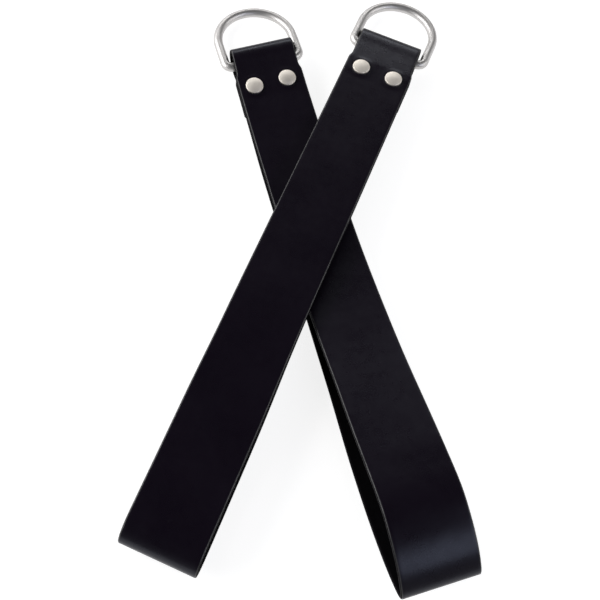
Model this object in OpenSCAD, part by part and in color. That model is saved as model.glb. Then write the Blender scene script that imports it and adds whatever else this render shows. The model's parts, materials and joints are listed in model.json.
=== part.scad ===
// A pair of leather hand grips lying crossed on a flat surface.
// Each grip is one strap, folded through a D-ring, looped and held by two double-cap rivets.
// The origin is on the surface under the middle of the pair, +Z is up and +Y runs towards the rings.

/* [Strap] */
// Width of the strap
strap_w = 50; // [46:0.5:50.5]
// Width of the strap where the hand holds it
grip_w = 51.2; // [50:0.1:52]
// Thickness of the leather
strap_t = 3.2; // [2.8:0.1:3.4]
// Width of the narrowed end that goes through the ring
chape_w = 47.5; // [44:0.5:47.5]
// How far the lower grip's fold stands past its rivets
lower_fold = 36.9; // [36:0.1:39]
// How far the upper grip's fold stands past its rivets
upper_fold = 42.6; // [42:0.1:45]
// Length of the tail that folds back behind the rivets
tail_length = 20; // [16:1:24]

/* [D-ring] */
// Inside width of the ring
ring_inside_w = 50; // [50:0.1:54]
// Inside depth of the ring, from its bar to the top of its arc
ring_inside_d = 44.3; // [42:0.1:50]
// Thickness of the ring's wire
ring_wire = 6.8; // [6:0.1:7]
// Bend radius at the ring's corners, on the wire's centre line
ring_corner_r = 5.2; // [4.5:0.1:5.2]
// Distance from the rivets to the bar of the lower ring
lower_bar = 21.8; // [21:0.1:23]
// Distance from the rivets to the bar of the upper ring
upper_bar = 29.3; // [28:0.1:30]
// How far the lower ring's bar lies below the middle of the riveted layers
lower_sink = 2.4; // [2.2:0.1:2.8]
// How far the upper ring's bar lies below the middle of the riveted layers
upper_sink = 4.5; // [4:0.1:4.8]
// How far the upper ring has slid to the right in its fold
upper_slide = -0.5; // [-0.5:0.1:0.5]

/* [Rivets] */
// Distance between the two rivets
rivet_spacing = 25.4; // [20:0.1:28]
// Diameter of a rivet cap
cap_d = 12.8; // [11:0.1:14]
// Height of a rivet cap above the leather
cap_h = 2.5; // [2.4:0.1:2.8]
// How far the lower grip's left rivet sits ahead of a line square across the strap
lower_skew = 1; // [0:0.1:1.5]
// How far the lower grip's rivets sit to the right of the strap's middle
lower_shift = -0.8; // [-1:0.1:1]
// Radius of the rivet's tube
tube_r = 2.6; // [2.2:0.1:3]

/* [Loops] */
// Reach of the lower grip, from its rivets to the end of its loop
lower_reach = 379; // [374:0.5:384]
// Height of the lower loop
lower_height = 46; // [44:0.5:48]
// Reach of the upper grip, from its rivets to the end of its loop
upper_reach = 386.5; // [380:0.5:400]
// Height of the upper loop
upper_height = 24; // [23:0.2:26]

/* [Layout] */
// Angle between the two grips
cross_angle = 37.3; // [36:0.1:39]
// Distance from the lower grip's rivets to the crossing
lower_cross = 113.6; // [112:0.1:118]
// Distance from the upper grip's rivets to the crossing
upper_cross = 127.8; // [126:0.1:130]
// Slope of the lower grip's riveted end, which stands up at its ring
lower_tilt = -5.5; // [-5.8:0.1:-5]
// Height of the middle of the lower grip's riveted layers above the surface
lower_stack_z = 8.4; // [8.4:0.1:9]
// Slope of the upper grip's riveted end, where it starts to climb over the lower grip
upper_tilt = 1.5; // [1:0.1:2]

/* [Hidden] */

$fn = 64;
leather_black = [0.07, 0.065, 0.085];
bright_nickel = [0.78, 0.78, 0.80];
warm_nickel = [0.76, 0.73, 0.68];

// Small gaps that keep touching pieces apart
layer_gap = 0.15;
floor_gap = 0.1;
fit_gap = 0.05;
bar_play = 0.7;

// Three layers of leather lie between the caps: front leg, rear leg and tail
layer_pitch = strap_t + layer_gap;
stack_half = layer_pitch + strap_t / 2;
bar_r = ring_wire / 2;
half_leather = strap_t / 2;
fold_r = bar_r + bar_play + half_leather;
rear_end = -9;
shoulder_u = -9.5;
shoulder_len = 5;
swell_u = 260;
swell_len = 60;
plan_margin = 5;

// The layers lie flat under the caps, then part round the pocket that holds the ring's bar
flat_margin = 1.6;
flat_end = -cap_d / 2 - flat_margin;
lower_opening = 15;
upper_opening = 22;
opening_knots = 3;

// Middle of each fold's arc, measured from the rivets
lower_fold_u = fold_r + half_leather - lower_fold;
upper_fold_u = fold_r + half_leather - upper_fold;

// Height of the middle of the upper grip's riveted layers, with its fold on the surface
fold_z = fold_r + half_leather + floor_gap;
upper_stack_z = fold_z + upper_sink * cos(upper_tilt) - upper_fold_u * sin(upper_tilt);

// D-ring along the centre line of its wire
ring_half_w = (ring_inside_w + ring_wire) / 2;
ring_depth = ring_inside_d + ring_wire;

// Rivet shells
shell_t = 0.5;
lip_t = 0.3;
lip_w = 0.9;
rim_h = 1.6;
rim_chamfer = 0.25;
crown_drop = 0.2;
dome_steps = 8;
flange_t = 0.4;
cap_r = cap_d / 2;
flange_r = cap_r - shell_t - fit_gap;
socket_short = 1.5;
post_short = 0.6;
cut_over = 1;
tube_wall = 0.6;
tube_inner_r = tube_r - tube_wall;
post_r = tube_inner_r - fit_gap;
stack_full = 2 * stack_half;

// Middle of the pair, measured from the crossing
middle_x = 1.062;
middle_y = -28.782;
curve_steps = 4;

// Smooth curve through knots
function slope_at(k, i) =
    let (a = k[max(i - 1, 0)], b = k[i], c = k[min(i + 1, len(k) - 1)])
    (c - a) / (norm(c - b) + norm(b - a));
function curve_point(k, i, t) =
    let (reach = norm(k[i + 1] - k[i]))
    (2 * t ^ 3 - 3 * t ^ 2 + 1) * k[i]
    + (t ^ 3 - 2 * t ^ 2 + t) * reach * slope_at(k, i)
    + (3 * t ^ 2 - 2 * t ^ 3) * k[i + 1]
    + (t ^ 3 - t ^ 2) * reach * slope_at(k, i + 1);
function curve(k) = concat(
    [for (i = [0 : len(k) - 2]) for (s = [0 : curve_steps - 1]) curve_point(k, i, s / curve_steps)],
    [k[len(k) - 1]]
);

// Outline of a band of one thickness along a path
function offset_side(path, gap) = [
    for (i = [0 : len(path) - 1])
        let (d = slope_at(path, i) / norm(slope_at(path, i)))
        path[i] + gap * [-d[1], d[0]]
];
function backwards(list) = [for (i = [len(list) - 1 : -1 : 0]) list[i]];
function band(path, thickness) = concat(
    offset_side(path, thickness / 2),
    backwards(offset_side(path, -thickness / 2))
);

// Side view of the riveted end, measured from the middle of its stack.
// The front layer runs straight to the fold, and the tail drops round the ring's pocket.
function smooth(t) = 3 * t ^ 2 - 2 * t ^ 3;
function flat_knots(z) = [for (t = [0 : 0.25 : 1]) [flat_end * t, z]];
function fold_arc(fold_u, sink) = [
    for (a = [-90 : -45 : -225]) [fold_u + fold_r * cos(a), fold_r * sin(a) - sink]
];
function fold_touch(fold_u, sink) =
    let (
        run = flat_end - fold_u,
        rise = layer_pitch + sink,
        slope = atan2(rise, run) - asin(fold_r / norm([run, rise]))
    )
    [fold_u - fold_r * sin(slope), fold_r * cos(slope) - sink];
function front_knots(fold_u, sink) =
    let (from = [flat_end, layer_pitch], to = fold_touch(fold_u, sink))
    concat(
        [for (i = [opening_knots : -1 : 1]) from + (to - from) * i / opening_knots],
        backwards(flat_knots(layer_pitch)),
        [[-flat_end, layer_pitch], [10, layer_pitch]]
    );
function tail_knots(sink, length) =
    let (drop = layer_pitch - fold_r - sink)
    concat(
        [[tail_length, -layer_pitch], [8, -layer_pitch]],
        flat_knots(-layer_pitch),
        [
            for (i = [1 : opening_knots])
                let (t = i / opening_knots)
                [flat_end - length * t, drop * smooth(t) - layer_pitch]
        ]
    );
function rear_knots() = [[tail_length + 4, 0], [10, 0], [0, 0], [rear_end, 0]];
function placed(k, tilt, z) = [
    for (p = k) [p[0] * cos(tilt) - p[1] * sin(tilt), z + p[0] * sin(tilt) + p[1] * cos(tilt)]
];

// Turn at the end of a loop, from the front leg round the tip to the rear leg.
// point = 1 makes two quarter ellipses that meet at the tip, and a larger value a sharper tip.
lower_tip_z = 25;
lower_turn_front = 48;
lower_turn_rear = 95;
lower_tip_point = 1.3;
upper_turn_len = 16;
function loop_turn(reach, height, tip_z, front_len, rear_len, point) =
    let (tip = reach - half_leather, top = height - half_leather)
    [
        for (a = [90 : -22.5 : -90])
            let (length = a > 0 ? front_len : rear_len, rise = a > 0 ? top - tip_z : tip_z - half_leather)
            [tip - length * (1 - cos(a)), tip_z + rise * abs(sin(a)) ^ point * sign(a)]
    ];
lower_turn = loop_turn(
    lower_reach, lower_height, lower_tip_z, lower_turn_front, lower_turn_rear, lower_tip_point
);
upper_turn = loop_turn(upper_reach, upper_height, upper_height / 2, upper_turn_len, upper_turn_len, 1);

// Legs of the lower grip: under the crossing, then open in a tall loop
lower_front_leg = [
    [40, 9.2], [80, 8.6], [112, 8.4], [145, 9.8], [170, 12.4], [195, 16],
    [220, 20.3], [250, 26.8], [280, 33.8], [304, 39.6]
];
lower_rear_leg = [[190, half_leather], [100, half_leather], [80, 1.7], [60, 2.4], [42, 4.2]];
// Legs of the upper grip: over the lower grip, then down to the surface
upper_front_leg = [
    [40, 17.6], [80, 19.2], [130, 20.9], [170, 22.5], [200, 23.8], [225, 24.2], [270, 23.6], [330, 22.6]
];
upper_rear_leg = [
    [340, half_leather], [300, 3.2], [262, 9.6], [235, 15.8], [212, 19.8], [195, 20.3],
    [165, 18.4], [130, 16.6], [90, 15.2], [62, 14.4]
];

function above_surface(path) = [for (p = path) [p[0], max(p[1], half_leather)]];
function folded_end(fold_u, sink, length) = concat(
    tail_knots(sink, length),
    fold_arc(fold_u, sink),
    front_knots(fold_u, sink)
);
function strap_path(end, tilt, stack_z, front_leg, turn, rear_leg) = above_surface(curve(concat(
    placed(end, tilt, stack_z),
    front_leg,
    turn,
    rear_leg,
    placed(rear_knots(), tilt, stack_z)
)));
lower_end = folded_end(lower_fold_u, lower_sink, lower_opening);
lower_path = strap_path(
    lower_end, lower_tilt, lower_stack_z, lower_front_leg, lower_turn, lower_rear_leg
);
upper_end = folded_end(upper_fold_u, upper_sink, upper_opening);
upper_path = strap_path(
    upper_end, upper_tilt, upper_stack_z, upper_front_leg, upper_turn, upper_rear_leg
);

// Outline of the strap in plan: narrow at the ring, full past the shoulders and fullest in the loop
function widening(u, length, from, to) = [
    for (t = [0 : 0.25 : 1]) [u + length * (t - 0.5), (from + (to - from) * smooth(t)) / 2]
];
module plan_outline(fold, reach) {
    edge = concat(
        [[-fold - plan_margin, chape_w / 2]],
        widening(shoulder_u, shoulder_len, chape_w, strap_w),
        widening(swell_u, swell_len, strap_w, grip_w),
        [[reach + plan_margin, grip_w / 2]]
    );
    polygon(concat(edge, backwards([for (p = edge) [p[0], -p[1]]])));
}

// Places: a grip lies along its heading, with its rivets at its own origin
module lay_lower() {
    translate([-middle_x, -middle_y, 0])
        rotate([0, 0, -90 + cross_angle / 2])
            translate([-lower_cross, 0, 0]) children();
}
module lay_upper() {
    translate([-middle_x, -middle_y, 0])
        rotate([0, 0, -90 - cross_angle / 2])
            translate([-upper_cross, 0, 0]) children();
}
module at_stack(tilt, stack_z) {
    translate([0, 0, stack_z]) rotate([0, -tilt, 0]) children();
}

// Place of a rivet on the strap, left (-1) or right (1)
function rivet_at(side, skew, shift) = [-side * skew, side * rivet_spacing / 2 + shift, 0];

module strap(path, fold, reach, tilt, stack_z, skew, shift) {
    color(leather_black) difference() {
        intersection() {
            rotate([90, 0, 0])
                linear_extrude(grip_w + plan_margin, center = true) polygon(band(path, strap_t));
            linear_extrude(lower_height + upper_height) plan_outline(fold, reach);
        }
        at_stack(tilt, stack_z)
            for (side = [-1, 1])
                translate(rivet_at(side, skew, shift))
                    cylinder(r = tube_r + fit_gap, h = 2 * stack_full, center = true);
    }
}

// D-ring standing out from its bar along -X, with its bar on the Y axis
module d_ring() {
    corner_y = ring_half_w - ring_corner_r;
    arc_x = ring_depth - ring_half_w;
    color(bright_nickel) {
        rotate([90, 0, 0]) cylinder(r = bar_r, h = 2 * corner_y, center = true);
        for (side = [0, 1])
            mirror([0, side, 0]) {
                translate([-ring_corner_r, corner_y, 0])
                    rotate_extrude(angle = 90) translate([ring_corner_r, 0]) circle(bar_r);
                translate([-arc_x, ring_half_w, 0])
                    rotate([0, 90, 0]) cylinder(r = bar_r, h = arc_x - ring_corner_r);
            }
        translate([-arc_x, 0, 0])
            rotate([0, 0, 90])
                rotate_extrude(angle = 180) translate([ring_half_w, 0]) circle(bar_r);
    }
}
module ring_at_rest(bar, sink, slide, tilt, stack_z) {
    bar_x = sink * sin(tilt) - bar * cos(tilt);
    bar_z = stack_z - bar * sin(tilt) - sink * cos(tilt);
    drop = asin((bar_z - bar_r - floor_gap) / ring_depth);
    translate([bar_x, slide, bar_z]) rotate([0, -drop, 0]) d_ring();
}

// Rivet pieces, with the leather's surface at z = 0
function dome(radius, top, rim) =
    let (rise = top - rim, bow = (radius ^ 2 + rise ^ 2) / (2 * rise), sweep = asin(radius / bow))
    [
        for (i = [0 : dome_steps])
            let (a = sweep * i / dome_steps)
            [bow * sin(a), top - bow * (1 - cos(a))]
    ];
module rivet_cap() {
    lip_r = flange_r - lip_w;
    color(warm_nickel) rotate_extrude() polygon(concat(
        dome(cap_r, cap_h, rim_h),
        [[cap_r, rim_chamfer], [cap_r - rim_chamfer, 0], [lip_r, 0], [lip_r, lip_t]],
        [[cap_r - shell_t, lip_t]],
        backwards(dome(cap_r - shell_t, cap_h - shell_t, rim_h - crown_drop))
    ));
}
module rivet_socket() {
    depth = stack_full - socket_short;
    color(warm_nickel) {
        translate([0, 0, lip_t + fit_gap]) difference() {
            cylinder(r = flange_r, h = flange_t);
            translate([0, 0, -cut_over]) cylinder(r = tube_inner_r, h = flange_t + 2 * cut_over);
        }
        translate([0, 0, -depth]) difference() {
            cylinder(r = tube_r, h = depth + lip_t + fit_gap);
            translate([0, 0, -cut_over]) cylinder(r = tube_inner_r, h = depth + lip_t + 2 * cut_over);
        }
    }
}
module rivet_post() {
    height = stack_full - post_short;
    color(warm_nickel) {
        translate([0, 0, lip_t + fit_gap]) cylinder(r = flange_r, h = flange_t);
        translate([0, 0, -height]) cylinder(r = post_r, h = height + lip_t + fit_gap);
    }
}
module front_face(tilt, stack_z, place) {
    at_stack(tilt, stack_z)
        translate(place + [0, 0, stack_half]) children();
}
module back_face(tilt, stack_z, place) {
    at_stack(tilt, stack_z)
        translate(place - [0, 0, stack_half]) mirror([0, 0, 1]) children();
}

// Lower grip
function lower_rivet(side) = rivet_at(side, lower_skew, lower_shift);
module lower_strap() {
    lay_lower()
        strap(lower_path, lower_fold, lower_reach, lower_tilt, lower_stack_z, lower_skew, lower_shift);
}
module lower_d_ring() { lay_lower() ring_at_rest(lower_bar, lower_sink, 0, lower_tilt, lower_stack_z); }
module lower_front(side) {
    lay_lower() front_face(lower_tilt, lower_stack_z, lower_rivet(side)) children();
}
module lower_back(side) {
    lay_lower() back_face(lower_tilt, lower_stack_z, lower_rivet(side)) children();
}
module lower_left_front_cap() { lower_front(-1) rivet_cap(); }
module lower_left_socket() { lower_front(-1) rivet_socket(); }
module lower_left_post() { lower_back(-1) rivet_post(); }
module lower_left_back_cap() { lower_back(-1) rivet_cap(); }
module lower_right_front_cap() { lower_front(1) rivet_cap(); }
module lower_right_socket() { lower_front(1) rivet_socket(); }
module lower_right_post() { lower_back(1) rivet_post(); }
module lower_right_back_cap() { lower_back(1) rivet_cap(); }

// Upper grip
function upper_rivet(side) = rivet_at(side, 0, 0);
module upper_strap() {
    lay_upper() strap(upper_path, upper_fold, upper_reach, upper_tilt, upper_stack_z, 0, 0);
}
module upper_d_ring() {
    lay_upper() ring_at_rest(upper_bar, upper_sink, upper_slide, upper_tilt, upper_stack_z);
}
module upper_front(side) {
    lay_upper() front_face(upper_tilt, upper_stack_z, upper_rivet(side)) children();
}
module upper_back(side) {
    lay_upper() back_face(upper_tilt, upper_stack_z, upper_rivet(side)) children();
}
module upper_left_front_cap() { upper_front(-1) rivet_cap(); }
module upper_left_socket() { upper_front(-1) rivet_socket(); }
module upper_left_post() { upper_back(-1) rivet_post(); }
module upper_left_back_cap() { upper_back(-1) rivet_cap(); }
module upper_right_front_cap() { upper_front(1) rivet_cap(); }
module upper_right_socket() { upper_front(1) rivet_socket(); }
module upper_right_post() { upper_back(1) rivet_post(); }
module upper_right_back_cap() { upper_back(1) rivet_cap(); }

lower_strap();
lower_d_ring();
lower_left_front_cap();
lower_left_socket();
lower_left_post();
lower_left_back_cap();
lower_right_front_cap();
lower_right_socket();
lower_right_post();
lower_right_back_cap();
upper_strap();
upper_d_ring();
upper_left_front_cap();
upper_left_socket();
upper_left_post();
upper_left_back_cap();
upper_right_front_cap();
upper_right_socket();
upper_right_post();
upper_right_back_cap();
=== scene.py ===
"""Looks for a crossed pair of leather hand grips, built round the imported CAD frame."""

import json
import math

import bpy
import numpy as np
from mathutils import Matrix, Vector


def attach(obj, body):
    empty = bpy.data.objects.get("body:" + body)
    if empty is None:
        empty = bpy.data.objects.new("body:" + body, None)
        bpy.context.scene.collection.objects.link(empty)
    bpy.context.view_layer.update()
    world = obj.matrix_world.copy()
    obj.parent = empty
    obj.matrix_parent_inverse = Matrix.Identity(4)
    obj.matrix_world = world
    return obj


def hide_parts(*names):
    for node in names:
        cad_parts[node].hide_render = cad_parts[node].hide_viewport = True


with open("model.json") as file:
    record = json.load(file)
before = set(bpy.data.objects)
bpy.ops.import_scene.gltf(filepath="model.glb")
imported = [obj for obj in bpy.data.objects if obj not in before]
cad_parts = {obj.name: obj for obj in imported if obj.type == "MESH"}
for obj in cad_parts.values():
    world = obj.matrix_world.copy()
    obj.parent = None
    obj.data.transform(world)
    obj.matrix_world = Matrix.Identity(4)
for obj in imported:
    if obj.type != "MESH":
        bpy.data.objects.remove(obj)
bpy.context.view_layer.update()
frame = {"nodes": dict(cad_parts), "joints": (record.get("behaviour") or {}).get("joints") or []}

# Driving sizes, as in the part's source
MM = 0.001
STRAP_W = 50 * MM
GRIP_W = 51.2 * MM
STRAP_T = 3.2 * MM
CHAPE_W = 47.5 * MM
TAIL_LENGTH = 20 * MM
RING_INSIDE_W = 50 * MM
RING_INSIDE_D = 44.3 * MM
RING_WIRE = 6.8 * MM
RING_CORNER_R = 5.2 * MM
BAR_PLAY = 0.7 * MM
RIVET_SPACING = 25.4 * MM
CAP_D = 12.8 * MM
CAP_H = 2.5 * MM
LAYER_GAP = 0.15 * MM
FLOOR_GAP = 0.1 * MM
REAR_END = -9 * MM
SHOULDER_U = -9.5 * MM
SHOULDER_LEN = 5 * MM
SWELL_U = 260 * MM
SWELL_LEN = 60 * MM
FLAT_MARGIN = 1.6 * MM
LOWER_STACK_Z = 8.4 * MM

# Worked out from the driving sizes
HALF_T = STRAP_T / 2
PITCH = STRAP_T + LAYER_GAP
STACK_HALF = PITCH + HALF_T
BAR_R = RING_WIRE / 2
FOLD_R = BAR_R + BAR_PLAY + HALF_T
FLAT_END = -CAP_D / 2 - FLAT_MARGIN
RING_HALF_W = (RING_INSIDE_W + RING_WIRE) / 2
RING_DEPTH = RING_INSIDE_D + RING_WIRE
FOLD_Z = FOLD_R + HALF_T + FLOOR_GAP

SIDES = {"left": -1, "right": 1}
TINY = 1e-9


def fold_middle(fold):
    """Middle of a fold's arc, for a fold that stands this far past the rivets."""
    return FOLD_R + HALF_T - fold


# The two grips. Each leg is a list of (along, height) in millimetres.
# rivet_skew and rivet_shift move a grip's rivets along the strap, left ahead and right behind,
# and across it. The other skews turn the ends a little in plan: how far the right edge moves along.
GRIPS = {
    "lower": {
        "bar": 21.8 * MM,
        "fold_u": fold_middle(36.9 * MM),
        "tilt": math.radians(-5.5),
        "sink": 2.4 * MM,
        "opening": 15 * MM,
        "slide": 0.0,
        "reach": 379 * MM,
        "height": 46 * MM,
        "tip_z": 25 * MM,
        "turn_front": 48 * MM,
        "turn_rear": 95 * MM,
        "tip_point": 1.3,
        "rivet_skew": 1.0 * MM,
        "rivet_shift": -0.8 * MM,
        "fold_skew": -1.6 * MM,
        "fold_shift": 0.75 * MM,
        "loop_skew": -1.0 * MM,
        "front": [
            (40, 9.2), (80, 8.6), (112, 8.4), (145, 9.8), (170, 12.4), (195, 16),
            (220, 20.3), (250, 26.8), (280, 33.8), (304, 39.6),
        ],
        "rear": [(190, 1.6), (100, 1.6), (80, 1.7), (60, 2.4), (42, 4.2)],
    },
    "upper": {
        "bar": 29.3 * MM,
        "fold_u": fold_middle(42.6 * MM),
        "tilt": math.radians(1.5),
        "sink": 4.5 * MM,
        "opening": 22 * MM,
        "slide": -0.5 * MM,
        "reach": 386.5 * MM,
        "height": 24 * MM,
        "tip_z": 12 * MM,
        "turn_front": 16 * MM,
        "turn_rear": 16 * MM,
        "tip_point": 1.0,
        "rivet_skew": 0.0,
        "rivet_shift": 0.0,
        "fold_skew": 0.0,
        "fold_shift": -1.0 * MM,
        "loop_skew": 0.8 * MM,
        "front": [
            (40, 17.6), (80, 19.2), (130, 20.9), (170, 22.5), (200, 23.8), (225, 24.2),
            (270, 23.6), (330, 22.6),
        ],
        "rear": [
            (340, 1.6), (300, 3.2), (262, 9.6), (235, 15.8), (212, 19.8), (195, 20.3),
            (165, 18.4), (130, 16.6), (90, 15.2), (62, 14.4),
        ],
    },
}


def resting_stack_z(grip):
    """Height of the riveted layers' middle, with the fold on the surface."""
    return FOLD_Z + grip["sink"] * math.cos(grip["tilt"]) - grip["fold_u"] * math.sin(grip["tilt"])


GRIPS["lower"]["stack_z"] = LOWER_STACK_Z
GRIPS["upper"]["stack_z"] = resting_stack_z(GRIPS["upper"])


# Places: each grip has its own frame, found from its ring's hinge
def ring_hinge(name):
    """Middle of a ring's hinge, with unit vectors along its grip and across it."""
    hinge = next(j for j in frame["joints"] if j["name"] == f"{name}_ring_swing")
    across = Vector(hinge["axis"]).normalized()
    along = Vector((across.y, -across.x, 0))
    return Vector(hinge["pos_m"]), along, across


def grip_frame(name, grip):
    """Rivet-line origin on the surface, with unit vectors along the grip and across it."""
    bar, along, across = ring_hinge(name)
    bar_u = grip["sink"] * math.sin(grip["tilt"]) - grip["bar"] * math.cos(grip["tilt"])
    origin = bar - along * bar_u
    return Vector((origin.x, origin.y, 0)), along, across


def stack_frame(place, grip):
    """Matrix of the riveted stack: x along the strap, y across, z out of its front."""
    origin, along, across = place
    x = along * math.cos(grip["tilt"]) + Vector((0, 0, math.sin(grip["tilt"])))
    matrix = Matrix((x, across, x.cross(across))).transposed().to_4x4()
    matrix.translation = origin + Vector((0, 0, grip["stack_z"]))
    return matrix


# Strap's middle line, in a side view: u along the strap from the rivets, z up
CURVE_STEPS = 24
STATION_GAP = 1.5 * MM
FLAT_KNOTS = 5
TAIL_KNOT_U = 8 * MM
LEG_KNOT_U = 10 * MM
REAR_START = TAIL_LENGTH + 4 * MM
THIRDS = np.array([1, 2, 3]) / 3
FOLD_ANGLES = np.radians([-90, -135, -180, -225])
TURN_ANGLES = np.radians(np.arange(90, -91, -22.5))


def curve_through(knots):
    """Smooth curve through knots, with slopes from the neighbouring knots."""
    k = np.array(knots, float)
    gaps = np.linalg.norm(np.diff(k, axis=0), axis=1)
    before = np.concatenate([k[:1], k[:-1]])
    after = np.concatenate([k[1:], k[-1:]])
    span = np.concatenate([[0], gaps]) + np.concatenate([gaps, [0]])
    slope = (after - before) / span[:, None]
    t = np.linspace(0, 1, CURVE_STEPS, endpoint=False)[:, None]
    rows = []
    for i, gap in enumerate(gaps):
        rows.append(
            (2 * t ** 3 - 3 * t ** 2 + 1) * k[i]
            + (t ** 3 - 2 * t ** 2 + t) * gap * slope[i]
            + (3 * t ** 2 - 2 * t ** 3) * k[i + 1]
            + (t ** 3 - t ** 2) * gap * slope[i + 1]
        )
    return np.concatenate(rows + [k[-1:]])


def smooth_step(x):
    """Smooth rise from 0 to 1 as x goes from 0 to 1."""
    x = np.clip(x, 0, 1)
    return x * x * (3 - 2 * x)


def flat_knots(z):
    """Flat part of a layer under the caps, from the rivets towards the fold."""
    return [(FLAT_END * t, z) for t in np.linspace(0, 1, FLAT_KNOTS)]


def tail_knots(grip):
    """Tail behind the rivets, dropping round the ring's pocket to the fold."""
    drop = PITCH - FOLD_R - grip["sink"]
    pocket = [(FLAT_END - grip["opening"] * t, drop * smooth_step(t) - PITCH) for t in THIRDS]
    return [(TAIL_LENGTH, -PITCH), (TAIL_KNOT_U, -PITCH)] + flat_knots(-PITCH) + pocket


def fold_knots(grip):
    """Fold round the ring's bar, from the tail to where the front layer leaves it."""
    middle, sink = grip["fold_u"], grip["sink"]
    return [(middle + FOLD_R * math.cos(a), FOLD_R * math.sin(a) - sink) for a in FOLD_ANGLES]


def front_knots(grip):
    """Front layer: straight from the fold to the flat part under the caps."""
    run = FLAT_END - grip["fold_u"]
    rise = PITCH + grip["sink"]
    slope = math.atan2(rise, run) - math.asin(FOLD_R / math.hypot(run, rise))
    near = np.array((FLAT_END, PITCH))
    far_u = grip["fold_u"] - FOLD_R * math.sin(slope)
    far = np.array((far_u, FOLD_R * math.cos(slope) - grip["sink"]))
    straight = [tuple(near + (far - near) * t) for t in THIRDS[::-1]]
    return straight + flat_knots(PITCH)[::-1] + [(-FLAT_END, PITCH), (LEG_KNOT_U, PITCH)]


def turn_knots(grip):
    """Turn at the end of a loop, from the front leg round the tip to the rear leg."""
    tip = grip["reach"] - HALF_T
    top = grip["height"] - HALF_T
    tip_z = grip["tip_z"]
    knots = []
    for a in TURN_ANGLES:
        length = grip["turn_front"] if a > 0 else grip["turn_rear"]
        rise = top - tip_z if a > 0 else tip_z - HALF_T
        lift = abs(math.sin(a)) ** grip["tip_point"] * math.copysign(1, a)
        knots.append((tip - length * (1 - math.cos(a)), tip_z + rise * lift))
    return knots


def strap_knots(grip):
    """Middle line of a strap: tail, fold, front leg, loop, rear leg and the end between the caps."""
    c, s = math.cos(grip["tilt"]), math.sin(grip["tilt"])

    def placed(knots):
        return [(u * c - z * s, grip["stack_z"] + u * s + z * c) for u, z in knots]

    riveted = tail_knots(grip) + fold_knots(grip) + front_knots(grip)
    rear_end = [(REAR_START, 0), (LEG_KNOT_U, 0), (0, 0), (REAR_END, 0)]
    front, rear = ([(u * MM, z * MM) for u, z in grip[leg]] for leg in ("front", "rear"))
    return placed(riveted) + front + turn_knots(grip) + rear + placed(rear_end)


def strap_stations(grip):
    """Evenly spaced points on the middle line: distance, u, z, and the grain side's normal."""
    line = curve_through(strap_knots(grip))
    line[:, 1] = np.maximum(line[:, 1], HALF_T)
    arc = np.concatenate([[0], np.cumsum(np.linalg.norm(np.diff(line, axis=0), axis=1))])
    distance = np.linspace(0, arc[-1], int(arc[-1] / STATION_GAP))
    u = np.interp(distance, arc, line[:, 0])
    z = np.interp(distance, arc, line[:, 1])
    du, dz = np.gradient(u), np.gradient(z)
    size = np.hypot(du, dz)
    return distance, u, z, -dz / size, du / size


# Strap's section, and the leather's shape round the rivets and at the ends
EDGE_R = 1.0 * MM
FACE_COLUMNS = 25
CORNER_STEPS = 4
GRAIN, FLESH, EDGE, BEVEL = 0, 1, 2, 3
PRESS_ZONE = 16 * MM
PRESS_R = 5.6 * MM
PRESS_DEPTH = 0.15 * MM
LIP_R = 7.4 * MM
LIP_H = 0.28 * MM
LIP_W = 1.5 * MM
GRAIN_MARGIN = 0.1 * MM
SKEW_START = 8 * MM
LOOP_SKEW_LEN = 120 * MM


def half_width(u):
    """Half-width of the strap: narrow at the ring, full past the shoulders and fullest in the loop."""
    shoulder = smooth_step((u - SHOULDER_U) / SHOULDER_LEN + 0.5)
    swell = smooth_step((u - SWELL_U) / SWELL_LEN + 0.5)
    return (CHAPE_W + (STRAP_W - CHAPE_W) * shoulder + (GRIP_W - STRAP_W) * swell) / 2


def section():
    """One closed section, as (across as a share of the flat, corner offset, height)."""
    flat = np.linspace(-1, 1, FACE_COLUMNS)
    low = HALF_T - EDGE_R
    rows = [(f, 0.0, HALF_T) for f in flat]
    for a in np.linspace(math.pi / 2, 0, CORNER_STEPS + 1)[1:]:
        rows.append((1.0, EDGE_R * math.cos(a), low + EDGE_R * math.sin(a)))
    for a in np.linspace(0, -math.pi / 2, CORNER_STEPS + 1)[:-1]:
        rows.append((1.0, EDGE_R * math.cos(a), -low + EDGE_R * math.sin(a)))
    rows += [(f, 0.0, -HALF_T) for f in flat[::-1]]
    for a in np.linspace(-math.pi / 2, 0, CORNER_STEPS + 1)[1:]:
        rows.append((-1.0, -EDGE_R * math.cos(a), -low + EDGE_R * math.sin(a)))
    for a in np.linspace(0, math.pi / 2, CORNER_STEPS + 1)[:-1]:
        rows.append((-1.0, -EDGE_R * math.cos(a), low + EDGE_R * math.sin(a)))
    return rows


def section_materials():
    """Material of each strip between neighbouring section points."""
    bevel = CORNER_STEPS // 2
    side = 2 * CORNER_STEPS + 1 - bevel
    kinds = [GRAIN] * (FACE_COLUMNS - 1) + [BEVEL] * bevel + [EDGE] * side
    return kinds + [FLESH] * (FACE_COLUMNS - 1) + [EDGE] * side + [BEVEL] * bevel


def rivet_at(grip, side):
    """Place of a rivet on the strap, along and across it."""
    sign = SIDES[side]
    return -sign * grip["rivet_skew"], sign * RIVET_SPACING / 2 + grip["rivet_shift"]


def rivet_press(grip, u, w):
    """Height change of the leather round the rivets: pushed in under a cap, in a low lip beside it."""
    lift = np.zeros_like(w)
    for side in SIDES:
        rivet_u, rivet_w = rivet_at(grip, side)
        d = np.hypot(u - rivet_u, w - rivet_w)
        lip = LIP_H * np.exp(-((d - LIP_R) / LIP_W) ** 2)
        lift += np.where(d < PRESS_R, -PRESS_DEPTH, lip)
    return lift


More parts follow.
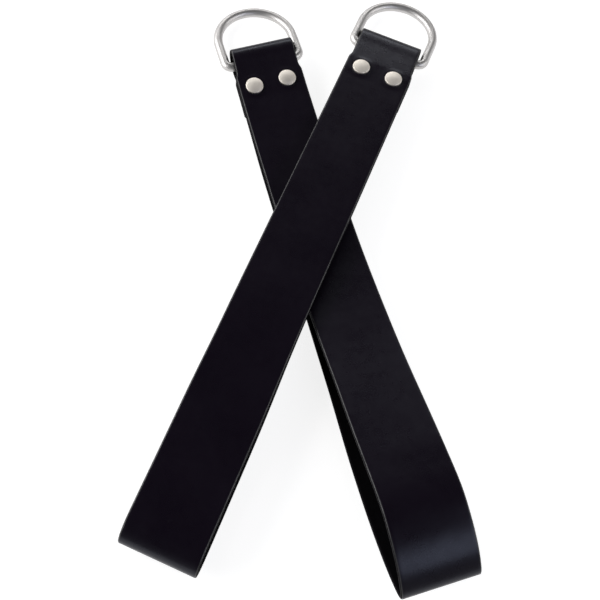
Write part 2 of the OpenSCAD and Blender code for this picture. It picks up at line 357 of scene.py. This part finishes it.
def plan_skew(grip, u, w):
    """Along and across shifts that turn the fold and the loop's end a little in plan."""
    fold_len = FOLD_R + HALF_T - grip["fold_u"]
    fold = smooth_step((-u - SKEW_START) / (fold_len - SKEW_START))
    loop = smooth_step((u - grip["reach"] + LOOP_SKEW_LEN) / LOOP_SKEW_LEN)
    turn = fold * grip["fold_skew"] + loop * grip["loop_skew"]
    return turn * w / (STRAP_W / 2), fold * grip["fold_shift"]


# Strap's mesh: one row of points for each station, one column for each section point
def pressed_height(grip, u, z, w, height):
    """Height of each point off the middle line, with the outer grain sides shaped by the rivets."""
    above = z - grip["stack_z"]
    stack_u = u * math.cos(grip["tilt"]) + above * math.sin(grip["tilt"])
    stack_u = np.repeat(stack_u[:, None], w.shape[1], axis=1)
    riveted = (np.abs(stack_u) < PRESS_ZONE) & (np.abs(above)[:, None] > HALF_T)
    outer = riveted & (height > HALF_T - GRAIN_MARGIN)
    return height + np.where(outer, rivet_press(grip, stack_u, w), 0)


def girth_places(w, height):
    """Distance round the section to each of its points, and on to the first again."""
    steps = np.hypot(np.diff(w, append=w[0]), np.diff(height, append=height[0]))
    return np.concatenate([[0], np.cumsum(steps)])


def strap_faces(distance, girth, w, h):
    """Faces of a strap, with the material and the texture places of each."""
    n, m = w.shape
    strip = section_materials()
    faces, kinds, uvs = [], [], []
    for i in range(n - 1):
        near, far = distance[i], distance[i + 1]
        for k in range(m):
            k2 = (k + 1) % m
            faces.append((i * m + k, (i + 1) * m + k, (i + 1) * m + k2, i * m + k2))
            kinds.append(strip[k])
            low, high = girth[k], girth[k + 1]
            uvs.append(((near, low), (far, low), (far, high), (near, high)))
    for i, order in ((0, 1), (n - 1, -1)):
        faces.append(tuple(range(i * m, (i + 1) * m))[::order])
        kinds.append(EDGE)
        uvs.append(tuple((w[i, k], h[i, k]) for k in range(m))[::order])
    return faces, kinds, uvs


def strap_mesh(grip, place):
    """Vertices, faces, materials and texture places of one strap."""
    distance, u, z, normal_u, normal_z = strap_stations(grip)
    share, corner, height = (np.array(column)[None, :] for column in zip(*section()))
    w = share * (half_width(u)[:, None] - EDGE_R) + corner
    h = pressed_height(grip, u, z, w, height)
    along_shift, across_shift = plan_skew(grip, u[:, None], w)
    point_u = u[:, None] + normal_u[:, None] * h + along_shift
    point_w = w + across_shift
    point_z = z[:, None] + normal_z[:, None] * h
    origin, along, across = (np.array(v) for v in place)
    up = np.array((0, 0, 1))
    verts = origin + point_u[..., None] * along + point_w[..., None] * across + point_z[..., None] * up
    girth = girth_places(w[len(w) // 2], height[0])
    return (verts.reshape(-1, 3), *strap_faces(distance, girth, w, h))


# Meshes into objects
STRAP_MAP = "strap"


def new_piece(name, verts, faces, materials, kinds=None, uvs=None):
    """Smooth-shaded object in the scene, with a material for each face and a map where they are given."""
    mesh = bpy.data.meshes.new(name)
    mesh.from_pydata([tuple(v) for v in verts], [], faces)
    for m in materials:
        mesh.materials.append(m)
    if kinds is not None:
        mesh.polygons.foreach_set("material_index", kinds)
    if uvs is not None:
        layer = mesh.uv_layers.new(name=STRAP_MAP)
        layer.data.foreach_set("uv", [x for face in uvs for point in face for x in point])
    mesh.polygons.foreach_set("use_smooth", [True] * len(mesh.polygons))
    mesh.update()
    obj = bpy.data.objects.new(name, mesh)
    bpy.context.scene.collection.objects.link(obj)
    return obj


def make_strap(name, grip, place, materials):
    """Leather of one grip."""
    verts, faces, kinds, uvs = strap_mesh(grip, place)
    strap = new_piece(f"{name}_leather", verts, faces, materials, kinds, uvs)
    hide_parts(f"{name}_strap")
    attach(strap, f"{name}_grip")


# D-ring: round wire bent to a D, with a weld bead on its bar
WIRE_SIDES = 36
BAR_STEPS = 40
BEND_STEPS = 16
LEG_STEPS = 14
ARC_STEPS = 84
WELD_H = 0.2 * MM
WELD_W = 1.6 * MM


def ring_line():
    """Middle line of the wire in its own plane: bar on y, arc towards -x."""
    r = RING_CORNER_R
    corner_y = RING_HALF_W - r
    arc_x = RING_DEPTH - RING_HALF_W
    quarter = np.linspace(0, math.pi / 2, BEND_STEPS, endpoint=False)
    half = np.linspace(0, math.pi, ARC_STEPS, endpoint=False)
    points = [(0, y) for y in np.linspace(-corner_y, corner_y, BAR_STEPS, endpoint=False)]
    points += [(r * math.cos(a) - r, corner_y + r * math.sin(a)) for a in quarter]
    points += [(-x, RING_HALF_W) for x in np.linspace(r, arc_x, LEG_STEPS, endpoint=False)]
    points += [(-arc_x - RING_HALF_W * math.sin(a), RING_HALF_W * math.cos(a)) for a in half]
    points += [(-x, -RING_HALF_W) for x in np.linspace(arc_x, r, LEG_STEPS, endpoint=False)]
    points += [(r * math.sin(a) - r, -corner_y - r * math.cos(a)) for a in quarter]
    return np.array(points)


def wire_points(line):
    """Points round the wire at each place on its middle line."""
    direction = np.roll(line, -1, axis=0) - np.roll(line, 1, axis=0)
    direction /= np.linalg.norm(direction, axis=1)[:, None]
    outward = np.stack([direction[:, 1], -direction[:, 0]], axis=1)
    bead = WELD_H * np.exp(-((line[:, 1] / WELD_W) ** 2))
    radius = BAR_R + np.where(np.abs(line[:, 0]) < TINY, bead, 0)
    points = []
    for p, o, r in zip(line, outward, radius):
        for a in np.linspace(0, 2 * math.pi, WIRE_SIDES, endpoint=False):
            reach = r * math.cos(a)
            points.append((p[0] + o[0] * reach, p[1] + o[1] * reach, r * math.sin(a)))
    return points


def make_ring(name, grip, material):
    """Ring of one grip, its arc resting on the surface."""
    bar, along, across = ring_hinge(name)
    bar = bar + across * grip["slide"]
    drop = math.asin((bar.z - BAR_R - FLOOR_GAP) / RING_DEPTH)
    x = along * math.cos(drop) + Vector((0, 0, math.sin(drop)))
    turn = np.array(Matrix((x, across, x.cross(across))).transposed())
    line = ring_line()
    verts = [np.array(bar) + turn @ np.array(p) for p in wire_points(line)]
    faces = []
    for i in range(len(line)):
        here = i * WIRE_SIDES
        ahead = (i + 1) % len(line) * WIRE_SIDES
        for k in range(WIRE_SIDES):
            k2 = (k + 1) % WIRE_SIDES
            faces.append((here + k, ahead + k, ahead + k2, here + k2))
    ring = new_piece(f"{name}_ring_wire", verts, faces, [material])
    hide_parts(f"{name}_d_ring")
    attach(ring, f"{name}_ring")


# Rivet caps: turned shells with a rolled rim
CAP_SIDES = 72
CROWN_STEPS = 14
RIM_STEPS = 7
INSIDE_STEPS = 8
INSIDE_SHARE = 0.9
RIM_H = 1.6 * MM
RIM_R = 0.55 * MM
SHELL_T = 0.5 * MM
INTURN_T = 0.3 * MM
INTURN_W = 0.95 * MM
INSIDE_DROP = 0.25 * MM
# Rounded foot of the side, as (inset, height)
FOOT = ((0.0, 0.3 * MM), (0.08 * MM, 0.1 * MM), (0.25 * MM, 0.0))


def cap_profile():
    """Section of a cap from its crown round the rim and back under it, as (radius, height)."""
    r = CAP_D / 2
    crown = r - RIM_R
    rise = CAP_H - RIM_H
    bow = (crown ** 2 + rise ** 2) / (2 * rise)
    sweep = math.asin(crown / bow)
    angles = np.linspace(0, sweep, CROWN_STEPS)
    points = [(bow * math.sin(a), CAP_H - bow * (1 - math.cos(a))) for a in angles]
    rim_z = RIM_H - RIM_R * math.cos(sweep)
    for a in np.linspace(math.pi / 2 - sweep, 0, RIM_STEPS)[1:]:
        points.append((crown + RIM_R * math.cos(a), rim_z + RIM_R * math.sin(a)))
    points += [(r - inset, z) for inset, z in FOOT]
    inner = r - SHELL_T
    inner_z = RIM_H - INSIDE_DROP
    inturn = inner - INTURN_W
    points += [(inturn, 0), (inturn, INTURN_T), (inner, INTURN_T), (inner, inner_z)]
    dome = CAP_H - SHELL_T - inner_z
    for f in np.linspace(INSIDE_SHARE, 0, INSIDE_STEPS):
        points.append((inner * f, inner_z + dome * (1 - f ** 2)))
    return points


def turned(profile):
    """Vertices and faces of a profile turned about z, closed where it meets the axis."""
    verts, rows = [], []
    for r, z in profile:
        if r < TINY:
            rows.append([len(verts)] * CAP_SIDES)
            verts.append((0, 0, z))
            continue
        rows.append(list(range(len(verts), len(verts) + CAP_SIDES)))
        for a in np.linspace(0, 2 * math.pi, CAP_SIDES, endpoint=False):
            verts.append((r * math.cos(a), r * math.sin(a), z))
    faces = []
    for a, b in zip(rows[:-1], rows[1:]):
        for k in range(CAP_SIDES):
            k2 = (k + 1) % CAP_SIDES
            faces.append(tuple(dict.fromkeys((a[k], b[k], b[k2], a[k2]))))
    return verts, faces


def make_cap(grip_name, side, face, stack, material):
    """One rivet cap, on the front or the back of a grip's riveted stack."""
    verts, faces = turned(cap_profile())
    sign = 1 if face == "front" else -1
    place = stack @ Matrix.Translation((*rivet_at(GRIPS[grip_name], side), sign * STACK_HALF))
    if face == "back":
        place = place @ Matrix.Rotation(math.pi, 4, "X")
    corners = [place @ Vector(v) for v in verts]
    cap = new_piece(f"{grip_name}_{side}_{face}_cap_shell", corners, faces, [material])
    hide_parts(f"{grip_name}_{side}_{face}_cap")
    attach(cap, f"{grip_name}_grip")


# Materials
# Sockets of a colour mix: its two colours and its result
MIX_A, MIX_B, MIX_RESULT = 6, 7, 2
# Span that most of a noise's values lie in
NOISE_LOW, NOISE_HIGH = 0.3, 0.7


class Nodes:
    """Short forms for building one material's nodes."""

    def __init__(self, name):
        self.material = bpy.data.materials.new(name)
        self.material.use_nodes = True
        self.tree = self.material.node_tree
        self.shader = self.tree.nodes["Principled BSDF"]

    def add(self, kind, **values):
        """New node, with values for its sockets or settings."""
        node = self.tree.nodes.new(kind)
        for key, value in values.items():
            if key in node.inputs:
                node.inputs[key].default_value = value
            else:
                setattr(node, key, value)
        return node

    def link(self, a, b):
        self.tree.links.new(a, b)

    def drive(self, source, socket):
        """Source into one of the shader's sockets."""
        self.link(source, self.shader.inputs[socket])

    def set(self, **values):
        """Constants on the shader's sockets."""
        for key, value in values.items():
            self.shader.inputs[key.replace("_", " ")].default_value = value

    def ramp(self, source, low, high, a, b):
        """Source mapped from low..high to a..b."""
        node = self.add("ShaderNodeMapRange")
        node.inputs["From Min"].default_value = low
        node.inputs["From Max"].default_value = high
        node.inputs["To Min"].default_value = a
        node.inputs["To Max"].default_value = b
        self.link(source, node.inputs["Value"])
        return node.outputs["Result"]

    def spread(self, noise, a=0, b=1):
        """Noise mapped to a..b."""
        return self.ramp(noise, NOISE_LOW, NOISE_HIGH, a, b)

    def mix(self, factor, a, b):
        """Colour between a and b."""
        node = self.add("ShaderNodeMix", data_type="RGBA")
        node.inputs[MIX_A].default_value = (*a, 1)
        node.inputs[MIX_B].default_value = (*b, 1)
        self.link(factor, node.inputs["Factor"])
        return node.outputs[MIX_RESULT]

    def blend(self, factor, colour, b):
        """Colour from another node, turning to b."""
        node = self.add("ShaderNodeMix", data_type="RGBA")
        node.inputs[MIX_B].default_value = (*b, 1)
        self.link(colour, node.inputs[MIX_A])
        self.link(factor, node.inputs["Factor"])
        return node.outputs[MIX_RESULT]

    def sum(self, a, b):
        node = self.add("ShaderNodeMath", operation="ADD")
        self.link(a, node.inputs[0])
        self.link(b, node.inputs[1])
        return node.outputs[0]

    def strap_place(self):
        """Place on the leather: distance along the strap and round its section."""
        return self.add("ShaderNodeUVMap", uv_map=STRAP_MAP).outputs["UV"]

    def object_place(self):
        """Place in the piece's own space."""
        return self.add("ShaderNodeTexCoord").outputs["Object"]

    def cells(self, place, scale):
        node = self.add("ShaderNodeTexVoronoi", Scale=scale)
        self.link(place, node.inputs["Vector"])
        return node.outputs["Distance"]

    def noise(self, place, scale, detail=4, rough=0.55):
        node = self.add("ShaderNodeTexNoise", Scale=scale, Detail=detail, Roughness=rough)
        self.link(place, node.inputs["Vector"])
        return node.outputs["Fac"]

    def bump(self, height, distance, strength, normal=None):
        """Normal tilted by a height of this distance in metres, on top of another normal."""
        node = self.add("ShaderNodeBump", Strength=strength, Distance=distance)
        self.link(height, node.inputs["Height"])
        if normal is not None:
            self.link(normal, node.inputs["Normal"])
        return node.outputs["Normal"]


GRAIN_COLOURS = ((0.0043, 0.0022, 0.0058), (0.0053, 0.0029, 0.0070))
SCUFF_COLOUR = (0.012, 0.012, 0.014)
GRAIN_SHEEN = (0.80, 0.86, 1.0, 1.0)
# Flesh side: dark leather, darkened further as painted shade for the insides of the loops
FLESH_AND_PAINTED_SHADE_COLOURS = ((0.0008, 0.0006, 0.0010), (0.0024, 0.0020, 0.0028))
EDGE_COLOURS = ((0.0016, 0.0013, 0.0020), (0.0060, 0.0054, 0.0066))
# Bevel: rubbed top corner, paler partly from wear and partly as a painted highlight
BEVEL_WEAR_AND_HIGHLIGHT_COLOURS = ((0.008, 0.0076, 0.009), (0.048, 0.046, 0.050))
RING_COLOUR = (0.62, 0.605, 0.595)
CAP_COLOUR = (0.97, 0.91, 0.835)
STEEL_COLOUR = (0.5, 0.5, 0.5)
DULLING = 0.93


def grain_leather():
    """Smooth black leather: fine pores, a cloudy gloss, a slight unevenness and a few pale scuffs."""
    n = Nodes("grain_leather")
    place = n.strap_place()
    cloud = n.noise(place, 28, 5)
    mottle = n.noise(place, 170)
    scuff = n.ramp(n.noise(place, 75, 9, 0.72), 0.66, 0.80, 0, 1)
    clean = n.mix(n.ramp(cloud, 0.35, 0.7, 0, 1), *GRAIN_COLOURS)
    n.drive(n.blend(scuff, clean, SCUFF_COLOUR), "Base Color")
    gloss = n.sum(n.ramp(cloud, 0.3, 0.75, 0.24, 0.30), n.spread(mottle, 0.0, 0.04))
    n.drive(n.sum(gloss, n.ramp(scuff, 0, 1, 0, 0.08)), "Roughness")
    uneven = n.bump(n.noise(place, 45, 2), 0.4 * MM, 0.5)
    pores = n.bump(n.cells(place, 1500), 0.05 * MM, 0.4, uneven)
    n.drive(n.bump(n.noise(place, 900, 3), 0.06 * MM, 0.35, pores), "Normal")
    n.set(Specular_IOR_Level=0.32, Specular_Tint=GRAIN_SHEEN)
    return n.material


def flesh_leather_with_painted_shade():
    """Rough inner side of the leather, with raised fibres; its dark colour is partly its own and partly
    painted shade for the insides of the loops.
    """
    n = Nodes("flesh_leather_with_painted_shade")
    fibre = n.noise(n.object_place(), 420, 8, 0.7)
    n.drive(n.mix(n.spread(fibre), *FLESH_AND_PAINTED_SHADE_COLOURS), "Base Color")
    n.drive(n.bump(fibre, 0.3 * MM, 0.8), "Normal")
    n.set(Roughness=0.85, Specular_IOR_Level=0.04)
    return n.material


def edge_leather():
    """Cut edge, dyed and rubbed smooth."""
    n = Nodes("burnished_edge")
    mottle = n.noise(n.object_place(), 300, 6, 0.65)
    n.drive(n.mix(n.spread(mottle), *EDGE_COLOURS), "Base Color")
    n.drive(n.spread(mottle, 0.5, 0.7), "Roughness")
    n.drive(n.bump(mottle, 0.1 * MM, 0.5), "Normal")
    n.set(Specular_IOR_Level=0.03)
    return n.material


def worn_bevel_and_painted_highlight():
    """Rubbed line along the grain side's edges, a little paler than the leather: partly wear and partly a
    painted highlight on the rounded corner.
    """
    n = Nodes("worn_bevel_and_painted_highlight")
    wear = n.noise(n.object_place(), 120, 6, 0.65)
    n.drive(n.mix(n.spread(wear), *BEVEL_WEAR_AND_HIGHLIGHT_COLOURS), "Base Color")
    n.drive(n.spread(wear, 0.45, 0.3), "Roughness")
    n.set(Specular_IOR_Level=0.5)
    return n.material


def nickel(name, colour, rough_low, rough_high):
    """Plated metal: hazy roughness, faint clouding and fine rubbing marks."""
    n = Nodes(name)
    place = n.object_place()
    haze = n.noise(place, 160)
    dull = tuple(c * DULLING for c in colour)
    n.drive(n.mix(n.ramp(haze, 0.35, 0.7, 0, 1), colour, dull), "Base Color")
    n.drive(n.spread(haze, rough_low, rough_high), "Roughness")
    n.drive(n.bump(n.noise(place, 400, 3), 0.02 * MM, 0.05), "Normal")
    n.set(Metallic=1.0)
    return n.material


# Stage: pale floor, soft light and camera
WHITE = (1, 1, 1)
COOL_WHITE = (0.80, 0.84, 1.0)
FLOOR_HALF = 60.0
FLOOR_Z = -0.3 * MM
FLOOR_GREY = 0.42
FLOOR_GLOW = 0.84
WORLD_LEVEL = 0.7
# Brightness of the surroundings by the sine of their elevation: pale walls and a dim ceiling
WORLD_STOPS = (
    (0.0, 0.45), (0.34, 0.36), (0.50, 0.21), (0.64, 0.09), (0.77, 0.065), (0.86, 0.09),
    (0.91, 0.10), (0.96, 0.07), (1.0, 0.03),
)
# Area lights: azimuth and elevation in degrees, distance, width, height, brightness and colour
PANELS = {
    "back_key": (187, 28.5, 3.0, 2.7, 0.5, 4.6, WHITE),
    "left_panel": (-97, 27, 1.7, 2.4, 0.9, 4.4, WHITE),
    "right_panel": (88, 30, 1.7, 1.6, 1.0, 1.6, WHITE),
    "right_key": (48, 41.5, 1.4, 0.8, 0.54, 2.15, COOL_WHITE),
}
# Camera, from the photograph's viewing angle
CAMERA_TARGET = Vector((-0.00673, -0.03273, 0.0))
CAMERA_DISTANCE = 0.7248
CAMERA_AZIMUTH = -8.87
CAMERA_ELEVATION = 63.91
CAMERA_ROLL = math.radians(13.03)
CAMERA_LENS = 64.1
SENSOR_W = 36.0


def seen_directly(tree, strength):
    """Strength for camera, glossy and transmission rays, and 0 for the rest."""
    path = tree.nodes.new("ShaderNodeLightPath")
    total = path.outputs["Is Camera Ray"]
    for ray in ("Is Glossy Ray", "Is Transmission Ray"):
        node = tree.nodes.new("ShaderNodeMath")
        node.operation = "MAXIMUM"
        tree.links.new(total, node.inputs[0])
        tree.links.new(path.outputs[ray], node.inputs[1])
        total = node.outputs[0]
    scale = tree.nodes.new("ShaderNodeMath")
    scale.operation = "MULTIPLY"
    scale.inputs[1].default_value = strength
    tree.links.new(total, scale.inputs[0])
    return scale.outputs[0]


def make_floor():
    """Pale floor just under the surface that the grips lie on."""
    n = Nodes("pale_floor")
    n.set(Base_Color=(FLOOR_GREY, FLOOR_GREY, FLOOR_GREY, 1), Roughness=0.9)
    n.set(Specular_IOR_Level=0.0, Emission_Color=(*WHITE, 1))
    n.drive(seen_directly(n.tree, FLOOR_GLOW), "Emission Strength")
    signs = ((-1, -1), (1, -1), (1, 1), (-1, 1))
    corners = [(x * FLOOR_HALF, y * FLOOR_HALF, FLOOR_Z) for x, y in signs]
    floor = new_piece("floor", corners, [(0, 1, 2, 3)], [n.material])


def make_world():
    """Surroundings that the leather and the metal reflect."""
    world = bpy.data.worlds.new("studio")
    bpy.context.scene.world = world
    world.use_nodes = True
    tree = world.node_tree
    back = tree.nodes["Background"]
    back.inputs["Strength"].default_value = WORLD_LEVEL
    split = tree.nodes.new("ShaderNodeSeparateXYZ")
    tree.links.new(tree.nodes.new("ShaderNodeTexCoord").outputs["Generated"], split.inputs[0])
    ramp = tree.nodes.new("ShaderNodeValToRGB")
    stops = ramp.color_ramp.elements
    while len(stops) < len(WORLD_STOPS):
        stops.new(1.0)
    for stop, (position, level) in zip(stops, WORLD_STOPS):
        stop.position = position
        stop.color = (level, level, level, 1)
    tree.links.new(split.outputs["Z"], ramp.inputs["Fac"])
    tree.links.new(ramp.outputs["Color"], back.inputs["Color"])


def towards(azimuth, elevation):
    """Unit vector towards a place given in degrees, with azimuth 0 at the loops' end."""
    a, e = math.radians(azimuth), math.radians(elevation)
    return Vector((math.sin(a) * math.cos(e), -math.cos(a) * math.cos(e), math.sin(e)))


def add_panel(name, azimuth, elevation, distance, width, height, level, colour):
    """Soft area light of this brightness, aimed at the middle of the pair."""
    data = bpy.data.lights.new(name, "AREA")
    data.color = colour
    data.shape = "RECTANGLE"
    data.size = width
    data.size_y = height
    data.energy = level * math.pi * width * height
    lamp = bpy.data.objects.new(name, data)
    lamp.location = towards(azimuth, elevation) * distance
    lamp.rotation_euler = (-lamp.location).to_track_quat("-Z", "Y").to_euler()
    bpy.context.scene.collection.objects.link(lamp)


def make_camera():
    """Camera that looks at the pair as the photograph does."""
    data = bpy.data.cameras.new("camera")
    data.lens = CAMERA_LENS
    data.sensor_width = SENSOR_W
    camera = bpy.data.objects.new("camera", data)
    back = towards(CAMERA_AZIMUTH, CAMERA_ELEVATION)
    right = towards(CAMERA_AZIMUTH + 90, 0)
    up = back.cross(right)
    c, s = math.cos(CAMERA_ROLL), math.sin(CAMERA_ROLL)
    matrix = Matrix((right * c + up * s, up * c - right * s, back)).transposed().to_4x4()
    matrix.translation = CAMERA_TARGET + back * CAMERA_DISTANCE
    camera.matrix_world = matrix
    bpy.context.scene.collection.objects.link(camera)
    bpy.context.scene.camera = camera


leather = [grain_leather(), flesh_leather_with_painted_shade(), edge_leather(), worn_bevel_and_painted_highlight()]
ring_nickel = nickel("ring_nickel", RING_COLOUR, 0.42, 0.48)
cap_nickel = nickel("cap_nickel", CAP_COLOUR, 0.52, 0.60)
rivet_steel = nickel("rivet_steel", STEEL_COLOUR, 0.3, 0.45)

for grip_name, grip_data in GRIPS.items():
    grip_place = grip_frame(grip_name, grip_data)
    make_strap(grip_name, grip_data, grip_place, leather)
    make_ring(grip_name, grip_data, ring_nickel)
    grip_stack = stack_frame(grip_place, grip_data)
    for side_name in SIDES:
        for face_name in ("front", "back"):
            make_cap(grip_name, side_name, face_name, grip_stack, cap_nickel)
        for inner in ("socket", "post"):
            hidden = frame["nodes"][f"{grip_name}_{side_name}_{inner}"]
            hidden.data.materials.clear()
            hidden.data.materials.append(rivet_steel)

make_floor()
make_world()
for panel_name, panel in PANELS.items():
    add_panel(panel_name, *panel)
make_camera()
bpy.context.scene.view_settings.view_transform = "Standard"
